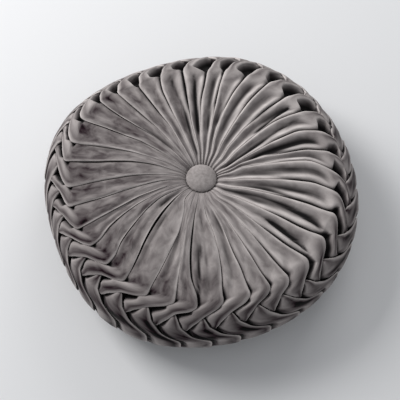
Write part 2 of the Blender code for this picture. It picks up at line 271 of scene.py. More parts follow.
# %% One row for each pleat
PLEAT_RADII = (30, 50, 75, 100, 125)
PLEATS = (
    # degrees round the cushion: at the rim, at the tip, then at each of the radii above
    (3.5, -8.9, 8.3, 13.4, 12.0, 11.0, 9.9),
    (13.5, 1.5, 14.0, 19.0, 18.8, 17.2, 16.3),
    (24.0, 11.8, 20.5, 24.6, 27.2, 28.2, 28.2),
    (36.0, 25.0, 33.0, 38.6, 40.0, 40.2, 38.8),
    (46.5, 37.0, 45.5, 50.4, 51.0, 49.6, 48.3),
    (57.5, 45.5, 58.0, 61.2, 61.3, 60.8, 59.5),
    (68.0, 56.5, 68.0, 73.0, 73.6, 72.2, 70.4),
    (79.0, 67.5, 78.0, 79.5, 80.0, 79.8, 79.7),
    (87.0, 76.0, 87.5, 89.5, 90.5, 90.0, 88.2),
    (98.7, 87.5, 95.0, 98.0, 99.2, 98.9, 98.6),
    (109.8, 98.8, 108.2, 110.5, 111.5, 111.8, 111.8),
    (121.7, 109.0, 120.0, 119.5, 119.2, 120.4, 120.9),
    (131.9, 118.5, 129.0, 128.8, 129.2, 130.3, 131.0),
    (140.0, 127.5, 137.3, 136.0, 137.0, 139.0, 140.0),
    (151.0, 138.0, 147.0, 146.5, 147.0, 148.9, 150.0),
    (163.0, 147.0, 156.0, 157.0, 158.6, 160.3, 161.8),
    (172.0, 156.5, 166.0, 165.0, 166.5, 169.0, 171.0),
    (184.8, 166.3, 177.0, 178.0, 179.5, 181.5, 183.0),
    (193.6, 179.1, 187.0, 188.0, 190.6, 192.3, 193.3),
    (204.8, 189.7, 198.5, 199.2, 200.2, 202.4, 203.8),
    (214.5, 200.5, 205.0, 204.8, 205.9, 208.2, 211.1),
    (225.8, 211.0, 211.5, 210.4, 214.0, 218.5, 222.2),
    (236.2, 220.9, 222.0, 224.0, 227.5, 231.3, 234.7),
    (247.7, 231.4, 236.0, 247.0, 250.5, 249.4, 248.4),
    (259.2, 242.9, 251.0, 253.5, 255.5, 257.5, 258.6),
    (268.3, 254.1, 261.4, 261.0, 261.5, 262.5, 264.5),
    (279.2, 264.8, 274.0, 276.0, 280.6, 281.4, 280.5),
    (290.8, 275.2, 281.6, 288.6, 290.2, 290.2, 291.0),
    (299.4, 286.0, 289.0, 295.2, 297.9, 298.6, 299.0),
    (307.7, 296.9, 300.0, 306.6, 307.6, 307.8, 307.8),
    (319.0, 308.0, 307.3, 313.5, 315.7, 316.8, 317.8),
    (331.3, 317.9, 319.0, 325.5, 328.4, 329.7, 330.1),
    (343.3, 329.7, 336.0, 341.5, 344.0, 344.3, 344.3),
    (353.9, 340.0, 352.5, 355.6, 356.6, 357.1, 356.9),
)
SIDE_FOLDS = (
    # mm slipped at the rim, apex and tuck, degrees from the corner to the pocket's far side,
    # run where the pocket ends; one row a pleat
    (4.0, 4.0, -6.0, 4.0, 182),
    (2.0, 3.5, -7.0, 1.2, 182),
    (4.0, 4.0, -6.0, 3.6, 184),
    (0.0, 4.0, -3.0, 4.6, 184),
    (-3.0, 3.0, 0.0, 3.6, 184),
    (0.0, 4.0, 0.0, 1.0, 184),
    (-3.5, 4.0, 0.0, 4.0, 182),
    (-3.5, 4.0, 0.0, 1.0, 182),
    (-3.5, 3.0, 0.0, 5.5, 182),
    (4.0, 6.0, 0.0, 2.8, 186),
    (3.0, 6.0, 0.0, 3.0, 188),
    (-2.0, 4.0, 0.0, 0.0, 184),
    (2.5, 5.0, 0.0, -0.5, 182),
    (4.5, 6.0, 0.0, -0.5, 184),
    (2.5, 5.0, -1.0, 0.0, 180),
    (-2.0, 1.0, -3.0, -2.0, 171),
    (2.5, 1.5, -2.5, -3.0, 170),
    (1.0, 1.1, 1.5, -3.0, 170),
    (4.0, 4.0, 4.0, -3.0, 170),
    (3.0, 3.5, 6.0, -3.0, 170),
    (-3.0, -2.0, 4.0, -4.0, 168),
    (-6.5, -5.5, 0.0, -6.0, 162),
    (-6.0, -5.4, -2.0, -6.0, 162),
    (-4.0, -3.5, -1.0, -4.5, 163),
    (-2.5, -1.5, 4.0, -4.0, 164),
    (2.0, 3.0, 5.0, -3.0, 165),
    (-1.0, 1.0, 3.0, -2.5, 165),
    (-0.5, 1.5, 3.0, -2.0, 165),
    (0.5, 2.5, 4.0, -2.0, 165),
    (2.0, 4.0, 5.0, -1.0, 166),
    (1.0, 3.0, 4.0, 1.0, 170),
    (2.0, 3.0, 2.0, 2.0, 172),
    (4.0, 4.0, -1.0, 2.5, 176),
    (4.0, 4.5, -4.0, 3.0, 178),
)
print("pleats:", len(PLEATS))

# %% [markdown]
# A point of the cloth is given by its angle round the cushion, its run, and how far it has
# sunk below the outer surface. The run first slips up or down the side with its pleat. The
# section then gives the place, the point sinks square to the surface, and the outline's
# unevenness is added. No point is placed below the level that the cushion rests on.

# %% Place a point of the cloth
SLIP_REACH = (
    # run, share of the slip at the rim, at the apexes, at the tucks
    (120, 0, 0, 0),
    (150, 1, 0, 0),
    (156, 1, 0, 0),
    (163, 0, 1, 0),
    (166, 0, 1, 0),
    (180, 0, 0, 1),
    (190, 0, 0, 1),
    (213.4, 0, 0, 0),
)
SECTION_STEP = 0.2 * MM


def round_the_rim(angle, values):
    """A smooth curve round the cushion through one value for each pleat, at its corner."""
    corners = column(PLEATS, 0)
    knots = np.concatenate([corners[-1:] - 360.0, corners, corners[:1] + 360.0])
    values = np.concatenate([values[-1:], values, values[:1]])
    return smooth_path(np.degrees(angle) % 360.0, knots, values)


def slipped(angle, run):
    """The run after the cloth has slipped up or down the side at this angle."""
    slip = 0.0
    for i in (1, 2, 3):
        slip = slip + at_run(SLIP_REACH, run, i) * round_the_rim(angle, column(SIDE_FOLDS, i - 1))
    return run + MM * slip


def place(angle, run, sunk, back):
    """The point at this angle and run, sunk below the cushion's outer surface."""
    run = run if back else slipped(angle, run)
    radius, height = section_point(run, back)
    radius_on, height_on = section_point(run + SECTION_STEP, back)
    radius_off, height_off = section_point(run - SECTION_STEP, back)
    along_r, along_z = radius_on - radius_off, height_on - height_off
    length = np.hypot(along_r, along_z)
    side = 1.0 if back else -1.0
    radius = radius - sunk * side * along_z / length
    height = height + sunk * side * along_r / length
    radius = radius + outline_shift(angle) * smooth_step(radius / FACE_RADIUS)
    height = np.maximum(height + SIDE_MIDDLE, 0.0)
    return np.stack([radius * np.cos(angle), radius * np.sin(angle), height], axis=-1)


print("the rim in mm:", (place(0.0, FACE_RADIUS, 0.0, False) / MM).round(1))

# %% [markdown]
# A root line leaves the button, turns over the rim at a corner, and falls away clockwise
# to the tuck on the side. Below the tuck the next leaf leans back the other way. The folds
# turn sharply over the near rim and lean over in a straight line on the far one, so there
# are two columns of shares. The root lies a little to the side of the edge that shows,
# because the fold stands over it.

# %% Root lines of the pleats
APEX_RUN = 163 * MM
TUCK_RUN = 182 * MM
BACK_STRAIGHT = 60.0
RIM_TO_TUCK = (
    # run, share of the turn from rim to tip on the near side, the same on the far side
    (150.0, 0.10, 0.14),
    (152.4, 0.105, 0.20),
    (154.2, 0.135, 0.26),
    (155.6, 0.20, 0.31),
    (157.0, 0.285, 0.36),
    (158.4, 0.39, 0.41),
    (159.8, 0.495, 0.46),
    (162.5, 0.68, 0.55),
    (166.0, 0.84, 0.66),
    (171.8, 1.04, 0.86),
    (182.0, 1.20, 1.20),
)
FAR_SIDE = math.radians(70)
FAR_SIDE_CONTRAST = 3.0
FAR_SIDE_EDGE = 0.05
APEX_TO_TUCK = (
    # run, share of the turn from the apex to the tuck
    (163.0, 0.0),
    (168.0, 0.20),
    (174.0, 0.52),
    (179.0, 0.82),
    (182.0, 1.0),
)
FOLD_SIZES = (
    # run, depth, overhang on the face, overhang in the plait
    (10, 0.0, 0.0, 0.0),
    (13, 0.0, 0.0, 0.0),
    (18, 2.6, 0.3, 0.3),
    (30, 4.2, 0.6, 0.5),
    (50, 6.2, 1.0, 0.8),
    (75, 7.8, 1.4, 1.0),
    (125, 9.5, 2.4, 2.0),
    (150, 10.5, 4.0, 2.0),
    (158, 12.0, 6.0, 2.0),
    (166, 13.0, 7.0, 2.5),
    (178, 12.5, 6.5, 3.5),
    (186, 10.5, 5.5, 3.5),
    (192, 7.0, 4.5, 3.0),
    (200, 5.5, 3.5, 2.5),
    (214, 5.0, 3.0, 1.6),
)
TUCK_TO_MIDDLE = (
    # run, degrees back the other way
    (182.0, 0.0),
    (187.0, 1.9),
    (192.5, 4.2),
    (195.5, 6.0),
    (199.5, 8.9),
    (202.5, 10.6),
    (206.5, 11.2),
    (213.4, 11.3),
    (220.0, 11.3),
)
DEPTH, FACE_OVERHANG, PLAIT_OVERHANG = 1, 2, 3


def fold_size(run, which):
    """How deep a fold is, or how far it stands over its root: a column of the table."""
    return at_run(FOLD_SIZES, run, which, MM)


def far_side(angle):
    """1 on the side away from the camera, 0 elsewhere: there the folds turn less sharply."""
    return smooth_step(FAR_SIDE_CONTRAST * (np.cos(angle - FAR_SIDE) - FAR_SIDE_EDGE))


def pleat(number):
    """The table's row for this pleat, in degrees, counted on past a full turn."""
    turns, row = divmod(number, len(PLEATS))
    return np.array(PLEATS[row]) + 360.0 * turns


def upper_root(number, run, back):
    """Angle of the root line under a pleat's fold, from the face down to its tuck."""
    rim, tip, *folds = pleat(number)
    share_runs, shares, far_shares = (column(RIM_TO_TUCK, i) for i in range(3))
    if back:
        face_runs, face_angles = [0.0, BACK_STRAIGHT], [rim, rim]
    else:
        radii = np.array(PLEAT_RADII) * MM
        folds = folds - np.degrees(fold_size(radii, FACE_OVERHANG) / radii)
        face_runs, face_angles = [0.0, *PLEAT_RADII], [folds[0], *folds]
        shares = shares + (far_shares - shares) * far_side(np.radians(rim))
    knots = np.concatenate([face_runs, share_runs]) * MM
    angles = np.concatenate([face_angles, rim + shares * (tip - rim)])
    return np.radians(smooth_path(run, knots, angles))


def apex_root(number, run, back):
    """Angle of the root line from the apex between two pleats to this pleat's tuck."""
    apex = upper_root(number - 1, APEX_RUN, back)
    return apex + at_run(APEX_TO_TUCK, run) * (upper_root(number, TUCK_RUN, back) - apex)


def middle_root(number, run, back):
    """Angle of the root line from a tuck to the corner at mid-height."""
    return upper_root(number, TUCK_RUN, back) + np.radians(at_run(TUCK_TO_MIDDLE, run))


def face_leaf_roots(number, run, back):
    """Left and right root angles of a pleat that runs from a face to its tuck."""
    left = np.where(
        run <= APEX_RUN, upper_root(number - 1, run, back), apex_root(number, run, back)
    )
    return left, upper_root(number, run, back)


def plait_leaf_roots(number, run, back):
    """Left and right root angles of a leaf of the plait, from its apex to mid-height."""
    upper = run <= TUCK_RUN
    before = number - 1
    left = np.where(upper, upper_root(before, run, back), middle_root(before, run, back))
    right = np.where(upper, apex_root(number, run, back), middle_root(number, run, back))
    return left, right


tuck_turn = upper_root(0, FACE_RADIUS, False) - upper_root(0, TUCK_RUN, False)
print("degrees a root line turns back by:", np.degrees(tuck_turn).round(1))

# %% [markdown]
# Across a leaf the cloth climbs out of the left root, dips where the filling is slack,
# crowns, rolls over at the fold and comes back under itself to the right root. Four
# shapes are blended. Pleats on the left of the face are pressed flat, with a narrow dark
# line beside each fold. Those on the right are round and full, with a crease beside the
# fold that deepens towards the rim. Past the rim the next fold stands clear of the cloth,
# which leaves a pocket.

# %% Shapes across a leaf
PRESSED_LEAF = (
    # share of width, rise, painted highlight on the nap (painted shade below 0)
    (0.00, 0.00, 0.0),
    (0.075, 0.12, 0.0),
    (0.13, 0.80, 0.1),
    (0.34, 0.88, 0.0),
    (0.66, 0.97, 0.0),
    (0.89, 1.00, 0.1),
    (0.985, 0.94, 1.0),
    (1.00, 0.84, 0.9),
)
ROUND_LEAF = (
    (0.00, 0.00, 0.0),
    (0.035, 0.55, 0.3),
    (0.12, 0.92, 1.0),
    (0.36, 0.62, 0.4),
    (0.60, 0.70, -0.3),
    (0.85, 1.00, 0.2),
    (0.965, 0.90, 0.9),
    (1.00, 0.70, 0.4),
)
CREASED_LEAF = (
    (0.00, 0.00, 0.0),
    (0.08, 0.05, 0.0),
    (0.145, 0.42, 0.2),
    (0.245, 0.97, 1.2),
    (0.56, 0.64, -0.1),
    (0.86, 1.00, 0.3),
    (0.97, 0.92, 1.1),
    (1.00, 0.75, 0.4),
)
POCKET_LEAF = (
    (0.00, 0.00, 0.0),
    (0.10, 0.03, 0.0),
    (0.24, 0.10, 0.0),
    (0.33, 0.62, 0.3),
    (0.46, 0.97, 0.9),
    (0.85, 1.00, 0.3),
    (0.98, 0.96, 1.2),
    (1.00, 0.86, 0.9),
)
LEAF_SHAPES = np.array([PRESSED_LEAF, ROUND_LEAF, CREASED_LEAF, POCKET_LEAF])
POCKET_ROW = 3
POCKET_SHARE = 0.28
LEVEL_KNOT = 3
LEAF_LEAN = np.array([0.0, 0.0, 0.05, 0.15, 0.40, 0.70, 0.95, 1.0])
LEAF_UNDERSIDE = (
    # share of the way from the right root to the fold, then the rise of each shape
    (0.80, 0.73, 0.60, 0.62, 0.74),
    (0.40, 0.52, 0.44, 0.42, 0.42),
    (0.00, 0.00, 0.00, 0.00, 0.00),
)
ROUNDEST_ANGLE = math.radians(30)
FACING_SPREAD = 0.7
CREASE_START = 70 * MM
CREASE_GROWTH = 50 * MM
FOLD_EDGE = 0.95


def facing(angle, towards, spread=FACING_SPREAD):
    """1 on the side of the cushion that faces this way, fading to 0 on the other."""
    return smooth_step(0.5 + spread * np.cos(angle - towards))


def leaf_controls(left, fold, right, fold_down, rests, runs, pocket, far_share):
    """Control points across a leaf: angles, lean down the cloth, rise, painted light; one row a
    run.
    """
    full = facing(0.5 * (left + right), ROUNDEST_ANGLE)
    creased = smooth_step((runs - CREASE_START) / CREASE_GROWTH)
    plain = 1 - pocket
    mix = np.stack(
        [(1 - full) * plain, full * (1 - creased) * plain, full * creased * plain, pocket], axis=-1
    )
    shapes = np.repeat(LEAF_SHAPES[None], len(runs), axis=0)
    across = LEAF_SHAPES[POCKET_ROW, :, 0]
    inner = across / POCKET_SHARE
    outer = (across - POCKET_SHARE) / (1 - POCKET_SHARE)
    far_share = far_share[:, None]
    shapes[:, POCKET_ROW, :, 0] = np.where(
        inner < 1, inner * far_share, far_share + outer * (1 - far_share)
    )
    share, rise, nap_shading = (np.einsum("rs,rsp->rp", mix, shapes[..., i]) for i in range(3))
    level = smooth_step(LEAF_SHAPES[0, :, 0] / LEAF_SHAPES[0, LEVEL_KNOT, 0])
    rise = rise + rests[:, None] * (np.where(share > FOLD_EDGE, rise, level) - rise)
    angle = left[:, None] + share * (fold - left)[:, None]
    under = column(LEAF_UNDERSIDE, 0)
    under_rise = mix @ np.array(LEAF_UNDERSIDE)[:, 1:].T
    under_angle = right[:, None] + under * (fold - right)[:, None]
    down = fold_down[:, None]
    halves = (
        (angle, under_angle),
        (LEAF_LEAN * down, under * down),
        (rise, under_rise),
        (nap_shading, 0 * under_rise),
    )
    return [np.hstack(pair) for pair in halves]


print("control points across a leaf:", LEAF_SHAPES.shape[1] + len(LEAF_UNDERSIDE))

# %% [markdown]
# A smooth curve through the control points gives the leaf its real shape. How much it
# takes of each one depends only on the place along it, so that is worked out once, as a
# table of weights, for every row of every leaf. The parts that turn sharply get more
# points, and the hidden back gets fewer.

# %% The curve across a leaf
CURVE_STEPS = (2, 2, 3, 4, 3, 2, 2, 1, 1, 1)
PLAIN_STEPS = (1, 1, 2, 2, 2, 1, 1, 1, 1, 1)


def curve_weights(steps):
    """How much of each control point a smooth curve takes, one row for each of its points.
    Each span between two control points is cut into its number of steps."""
    last = len(steps)
    places = [span + i / count for span, count in enumerate(steps) for i in range(count)]
    weights = np.zeros((len(places) + 1, last + 1))
    for row, at in zip(weights, [*places, last]):
        span = min(int(at), last - 1)
        start, end, leave, arrive = curve_shares(at - span)
        row[span] += start
        row[span + 1] += end
        for knot, pull in ((span, leave), (span + 1, arrive)):
            before, after = max(knot - 1, 0), min(knot + 1, last)
            row[after] += pull / (after - before)
            row[before] -= pull / (after - before)
    return weights


CURVE_WEIGHTS = curve_weights(CURVE_STEPS)
PLAIN_WEIGHTS = curve_weights(PLAIN_STEPS)
print("points across a leaf:", len(CURVE_WEIGHTS))

# %% [markdown]
# Small creases are added in the cloth's own coordinates, before the points are placed, so
# they follow the fold they belong to. Some are where the cushion shows them; the rest are
# drawn by a random generator with a fixed seed, to keep the leaves from looking alike. The
# plait is drawn tight by its stitches, so its lines are half as deep.

# %% Creases within the pleats
CREASE_RADII = (30, 50, 75, 100, 125, 149)
CREASES = (
    # first run, last run, depth, half width, then degrees at each radius
    (28, 140, 1.8, 1.4, 25.5, 28.7, 31.5, 33.6, 34.3, 34.3),
    (84, 146, 3.0, 1.3, 41.0, 41.0, 41.4, 42.0, 42.1, 42.4),
    (64, 146, 3.0, 1.3, 93.0, 93.4, 93.6, 93.8, 93.8, 93.8),
    (28, 152, 1.8, 1.4, 99.0, 101.7, 102.4, 103.2, 104.8, 105.4),
    (30, 66, 2.4, 2.0, 218.5, 218.6, 218.8, 219.0, 219.0, 219.0),
    (24, 82, 1.3, 2.4, 233.0, 233.0, 233.0, 233.0, 233.0, 233.0),
    (88, 156, 3.4, 1.8, 268.8, 268.8, 268.8, 268.8, 268.8, 268.8),
    (50, 138, 1.2, 0.9, 269.6, 270.0, 271.2, 272.6, 274.2, 275.2),
    (94, 156, 3.4, 1.8, 324.0, 324.0, 323.9, 323.8, 323.2, 322.6),
    (26, 156, 2.8, 2.3, 331.0, 336.0, 339.6, 339.0, 337.4, 335.2),
)
SOFT_LINES = 9
LINE_MIDDLES = (0.22, 0.80)
LINE_DRIFTS = (-0.12, 0.12)
LINE_DEPTHS = (-0.9, 1.3)
LINE_HALF_WIDTHS = (0.9, 2.2)
LINE_SHORTEST = 0.6
LINE_FADE = 14 * MM
CREASE_FADE = 16 * MM
PLAIT_LINES = 0.5
FACE_LINE_RUNS = (40 * MM, 160 * MM)
PLAIT_LINE_RUNS = (170 * MM, MIDDLE_RUN)


def window(run, first, last, fade):
    """1 between two runs, fading to 0 outside them."""
    return smooth_step((run - first) / fade + 0.5) * smooth_step((last - run) / fade + 0.5)


def named_creases(angle, run):
    """How far the table's creases sink the cloth at each point of the face."""
    sunk = np.zeros_like(angle)
    for first, last, depth, half_width, *degrees in CREASES:
        path = np.radians(smooth_path(run, np.array(CREASE_RADII) * MM, degrees))
        away = (angle - path + math.pi) % (2 * math.pi) - math.pi
        bell = np.exp(-((away * run / (half_width * MM)) ** 2))
        sunk += depth * MM * bell * window(run, first * MM, last * MM, CREASE_FADE)
    return sunk


def soft_lines(number, share, width, run, first, last):
    """A few low ridges and troughs along one leaf, from a fixed seed."""
    draw = np.random.default_rng(number)
    sunk = np.zeros_like(run)
    for _ in range(SOFT_LINES):
        middle = draw.uniform(*LINE_MIDDLES)
        drift = draw.uniform(*LINE_DRIFTS)
        start = draw.uniform(first, 0.5 * (first + last))
        end = draw.uniform(LINE_SHORTEST * last + (1 - LINE_SHORTEST) * start, last)
        depth = draw.uniform(*LINE_DEPTHS) * MM
        half_width = draw.uniform(*LINE_HALF_WIDTHS) * MM
        along = (run - start) / (end - start) - 0.5
        bell = np.exp(-(((share - middle - drift * along) * width / half_width) ** 2))
        sunk += depth * bell * window(run, start, end, LINE_FADE)
    return sunk


print("creases placed by hand:", len(CREASES))

# %% [markdown]
# Beside a fold the cloth of the next pleat drops out of sight. On the face that is a narrow
# crease. Past the rim it opens into a pocket, which reaches from the left root to its far
# side, straight below the corner of the pleat, and closes again down the side.

# %% Pockets beside the folds
PLAIT_POCKETS = (
    # run, how deep the pocket beside a plait leaf's left root is, mm to its far side
    (158, 1.0, 13.5),
    (172, 1.0, 12.5),
    (180, 1.0, 11.0),
    (185, 0.8, 8.0),
    (190, 0.5, 6.0),
    (195, 0.2, 5.0),
    (200, 0.6, 4.6),
    (203, 1.0, 4.6),
    (226, 1.0, 4.6),
)
POCKET_START = 150 * MM
POCKET_FADE = 6 * MM
POCKET_END_FADE = 11 * MM
BACK_POCKET_END = 171 * MM
POCKET_CLOSES = 14 * MM
PLAIT_POCKET_SHARES = (0.12, 0.70)
FACE_POCKET_SHARES = (0.10, 0.75)
RIM_CREASE_START = 136 * MM
RIM_CREASE_GROWTH = 16 * MM
RIM_CREASE_WIDTH = 1.1 * MM
SIDE_CREASE_WIDTH = 0.8 * MM
CREASED_ANGLE = math.radians(5)
CREASED_SPREAD = 0.8
NO_WIDTH = math.radians(0.01)


def opening(run):
    """0 on the face, 1 past the rim, where the pockets are open."""
    return smooth_step((run - POCKET_START) / POCKET_FADE)


def pocket_reach(number, left, right, runs, kind):
    """How deep the pocket beside a leaf's left root is, and the share across that it takes."""
    radius, _ = section_point(runs, kind == "back")
    width = np.maximum(right - left, NO_WIDTH)
    if kind == "back":
        closed = smooth_step((BACK_POCKET_END - runs) / POCKET_FADE + 0.5)
        return opening(runs) * closed, np.full_like(runs, POCKET_SHARE)
    if kind == "plait":
        pocket, far = (at_run(PLAIT_POCKETS, runs, i) for i in (1, 2))
        return pocket, np.clip(far * MM / radius / width, *PLAIT_POCKET_SHARES)
    gape, last_run = SIDE_FOLDS[(number - 1) % len(PLEATS)][3:]
    on_side = runs > APEX_RUN
    crease = np.where(on_side, fold_size(runs, PLAIT_OVERHANG), fold_size(runs, FACE_OVERHANG))
    crease = (crease + np.where(on_side, SIDE_CREASE_WIDTH, RIM_CREASE_WIDTH)) / radius
    before_end = (last_run * MM - slipped(left, runs)) / POCKET_END_FADE
    open_wide = opening(runs) * smooth_step(before_end + 0.5)
    corner = np.radians(pleat(number - 1)[0] + gape)
    far = crease + open_wide * np.maximum(corner - left - crease, 0.0)
    rim_crease = smooth_step((runs - RIM_CREASE_START) / RIM_CREASE_GROWTH)
    rim_crease = rim_crease * facing(left, CREASED_ANGLE, CREASED_SPREAD)
    closing = np.where(on_side, smooth_step(width * radius / POCKET_CLOSES), 1.0)
    pocket = np.maximum(rim_crease, opening(runs)) * closing
    return pocket, np.clip(far / width, *FACE_POCKET_SHARES)


print("the longest pocket ends at a run of", max(column(SIDE_FOLDS, 4)), "mm")

# %% [markdown]
# Two marks go with each point for the material, and both are painted light and shade:
# painted shade for how far it lies in a hollow, and painted light and shade on the nap. Folds
# get a painted highlight along their edges. The face is painted paler towards one side of it.
# That is mostly lost down the side, which gets painted shade and is darker. The near rim gets
# a little painted shade too, and the far pockets get less painted shade than their depth
# would give them.

# %% Painted light and shade on the nap
# Painted light and shade on the cover: dark in the hollows, paler towards one side of the face,
# darker down the side and near the rim, edges paler down the side.
DEEPEST = 10 * MM
HOLLOW_CONTRAST = 0.6
FAR_POCKETS_LIGHTER = 0.6
PAINTED_FACE_LIGHT = 0.46
PALEST_ANGLE = math.radians(348)
SIDE_START = 139 * MM
SIDE_FADE = 28 * MM
SIDE_FACE_LIGHT_LOST = 0.85
PAINTED_SIDE_SHADE = 1.13
EDGES_LIGHTER = 0.35
DARKEST_ANGLE = math.radians(288)
LEAST_SHADED = 0.6
NEAR_RIM = 100 * MM
NEAR_RIM_FADE = 40 * MM
PAINTED_RIM_SHADE = 0.4
RIM_DARKEST_ANGLE = math.radians(322)


def painted_shading(angle, run, sunk, depth, nap_light):
    """Painted shade in a hollow for each point, and painted light and shade on its pile."""
    on_side = smooth_step((run - SIDE_START) / SIDE_FADE)
    # Painted light: the face is paler towards one side, and this is mostly lost down the side.
    face_light = PAINTED_FACE_LIGHT * smooth_step(run / FACE_RADIUS) * (1 - SIDE_FACE_LIGHT_LOST * on_side)
    nap_shading = nap_light + face_light * np.cos(angle - PALEST_ANGLE)
    # Painted shade down the side and near the rim, with painted highlights kept on the side's
    # edges.
    shaded = LEAST_SHADED + (1 - LEAST_SHADED) * facing(angle, DARKEST_ANGLE)
    nap_shading = nap_shading + on_side * (EDGES_LIGHTER * nap_light - PAINTED_SIDE_SHADE * shaded)
    near_rim = smooth_step((run - NEAR_RIM) / NEAR_RIM_FADE) * (1 - on_side)
    nap_shading = nap_shading - PAINTED_RIM_SHADE * facing(angle, RIM_DARKEST_ANGLE) * near_rim
    hollow = np.clip(sunk / np.maximum(depth, MM), 0.0, 1.0)
    # Painted shade in the hollows, deepest in narrow folds and lighter in the far pockets.
    hollow_shade = sunk / DEEPEST * hollow**HOLLOW_CONTRAST
    return hollow_shade * (1 - FAR_POCKETS_LIGHTER * far_side(angle) * opening(run)), nap_shading


print("the side's own shade starts at a run of", round(SIDE_START / MM), "mm")

# %% [markdown]
# Now the leaf itself, as a grid: its curve across, one row for each run. The fold stands
# over its root at a right angle to the root line, so a leaf that runs down the side leans
# its fold down the cloth as well. Where two root lines meet, the leaf has no width left,
# and it sinks to its root. Where the cushion rests, the crowns are pressed level.

# %% Points of one leaf
ROOT_STEP = 0.25 * MM
FACE_LEAF_RISE = 6 * MM
PLAIT_LEAF_RISE = 22 * MM
CORNER_SHARPNESS = 5
ROUND_CORNER = 2
REST_BLEND = 12 * MM
LINES_FROM_ROOT = 0.15
LINES_FROM_FOLD = 0.22


def leaf_points(roots, number, runs, back, seed):
    """Points of one leaf, shares across, runs and its painted shade and light, one row a run."""
    on_face = roots is face_leaf_roots
    weights = PLAIN_WEIGHTS if on_face and back else CURVE_WEIGHTS
    left, right = roots(number, runs, back)
    before, after = (roots(number, runs + step, back)[1] for step in (-ROOT_STEP, ROOT_STEP))
    radius, _ = section_point(runs, back)
    depth = fold_size(runs, DEPTH)[:, None]
    full_width = (right - left) * radius
    leaf_rise = FACE_LEAF_RISE if on_face else PLAIT_LEAF_RISE
    risen = np.where(runs < APEX_RUN, 1.0, smooth_step(full_width / leaf_rise))
    across, down = 2 * ROOT_STEP, (before - after) * radius
    full = facing(0.5 * (left + right), ROUNDEST_ANGLE)
    power = CORNER_SHARPNESS - (CORNER_SHARPNESS - ROUND_CORNER) * full
    length = (np.abs(across) ** power + np.abs(down) ** power) ** (1 / power)
    reach_out = risen * fold_size(runs, FACE_OVERHANG if on_face else PLAIT_OVERHANG)
    fold = right + reach_out * across / length / radius
    fold_down = reach_out * down / length
    rests = back * smooth_step((FACE_RADIUS - runs) / REST_BLEND)
    kind = "plait" if not on_face else "back" if back else "face"
    pocket, far_share = pocket_reach(number, left, right, runs, kind)
    controls = leaf_controls(left, fold, right, fold_down, rests, runs, pocket, far_share)
    angle, lean, rise, nap_shading = (part @ weights.T for part in controls)
    sunk = depth * (1 - risen[:, None] * rise)
    run = runs[:, None] + lean
    share = np.tile(np.linspace(0.0, 1.0, len(weights)), (len(runs), 1))
    line_runs = FACE_LINE_RUNS if on_face else PLAIT_LINE_RUNS
    lines = soft_lines(seed, share, full_width[:, None], run, *line_runs)
    if not on_face:
        lines = lines * PLAIT_LINES
    elif not back:
        lines = lines + named_creases(angle, run)
    edge = smooth_step(share / LINES_FROM_ROOT) * smooth_step((1 - share) / LINES_FROM_FOLD)
    sunk = sunk + lines * edge * (1 - rests[:, None]) * risen[:, None]
    hollow_shade, nap_shading = painted_shading(angle, run, sunk, depth, nap_shading)
    return place(angle, run, sunk, back), share, run, hollow_shade, nap_shading


trial = leaf_points(face_leaf_roots, 5, np.linspace(30 * MM, 180 * MM, 4), False, 5)
print("a leaf at 4 runs has", trial[0].shape, "points")

# %% [markdown]
# The leaves are laid side by side in one mesh. They share their root lines, so merging
# the points that coincide sews them together. Each leaf also gets a place on a flat
# cloth map, in metres, which the nap follows later. The small round openings under the
# button and at the back are filled, so the cover is one closed skin.

# %% Sew the leaves into one cover
FACE_ROWS = (
    # first run, last run, rows
    (13, 32, 8),
    (34, 140, 22),
    (143, 151, 5),
    (151.6, 162.5, 22),
)
TUCK_ROWS = 15
MIDDLE_ROWS = 14
BACK_ROWS = (
    # first run, last run, rows
    (10, 40, 6),
    (52, 142, 5),
    (147, 161, 7),
)
LOWER_TUCK_ROWS = 7
LOWER_MIDDLE_ROWS = 8
PLAIT_SEED, LOWER_SEED, BACK_SEED = 100, 200, 300
PLEAT_PITCH = 20 * MM
WELD = 0.01 * MM


def spread(table):
    return np.concatenate([np.linspace(*row) for row in table]) * MM


def below(points, share, run, hollow_shade, nap_shading):
    """A leaf of the lower half, with its runs counted on past mid-height for the cloth map."""
    return points, share, 2 * MIDDLE_RUN - run, hollow_shade, nap_shading


def cover_leaves():
    """Every leaf of the cover with its pleat's number, from the face round to the back."""
    tuck = np.linspace(APEX_RUN, TUCK_RUN, TUCK_ROWS)
    lower_tuck = np.linspace(APEX_RUN, TUCK_RUN, LOWER_TUCK_ROWS)
    middle = np.linspace(TUCK_RUN, MIDDLE_RUN, MIDDLE_ROWS + 1)[1:]
    lower_middle = np.linspace(TUCK_RUN, MIDDLE_RUN, LOWER_MIDDLE_ROWS + 1)[1:-1]
    face = np.concatenate([spread(FACE_ROWS), tuck])
    back = np.concatenate([spread(BACK_ROWS), lower_tuck])
    side = np.concatenate([tuck, middle])
    lower_side = np.concatenate([lower_tuck, lower_middle])
    for number in range(len(PLEATS)):
        yield number, leaf_points(face_leaf_roots, number, face, False, number)
        upper = leaf_points(plait_leaf_roots, number, side, False, PLAIT_SEED + number)
        lower = leaf_points(plait_leaf_roots, number, lower_side, True, LOWER_SEED + number)
        halves = zip(upper, below(*lower))
        yield number, [np.concatenate([above, under[::-1]]) for above, under in halves]
        rest = leaf_points(face_leaf_roots, number, back, True, BACK_SEED + number)
        yield number, below(*rest)


def closed_skin(data):
    """Merges points that coincide, fills the openings, and turns every face outwards."""
    mesh = bmesh.new()
    mesh.from_mesh(data)
    bmesh.ops.remove_doubles(mesh, verts=mesh.verts, dist=WELD)
    openings = [edge for edge in mesh.edges if edge.is_boundary]
    discs = bmesh.ops.edgeloop_fill(mesh, edges=openings)["faces"]
    bmesh.ops.poke(mesh, faces=discs)
    bmesh.ops.recalc_face_normals(mesh, faces=mesh.faces)
    still_open = sum(not edge.is_manifold for edge in mesh.edges)
    mesh.to_mesh(data)
    mesh.free()
    data.shade_smooth()
    triangles = sum(len(face.vertices) - 2 for face in data.polygons)
    print("cover:", triangles, "triangles,", still_open, "open edges")


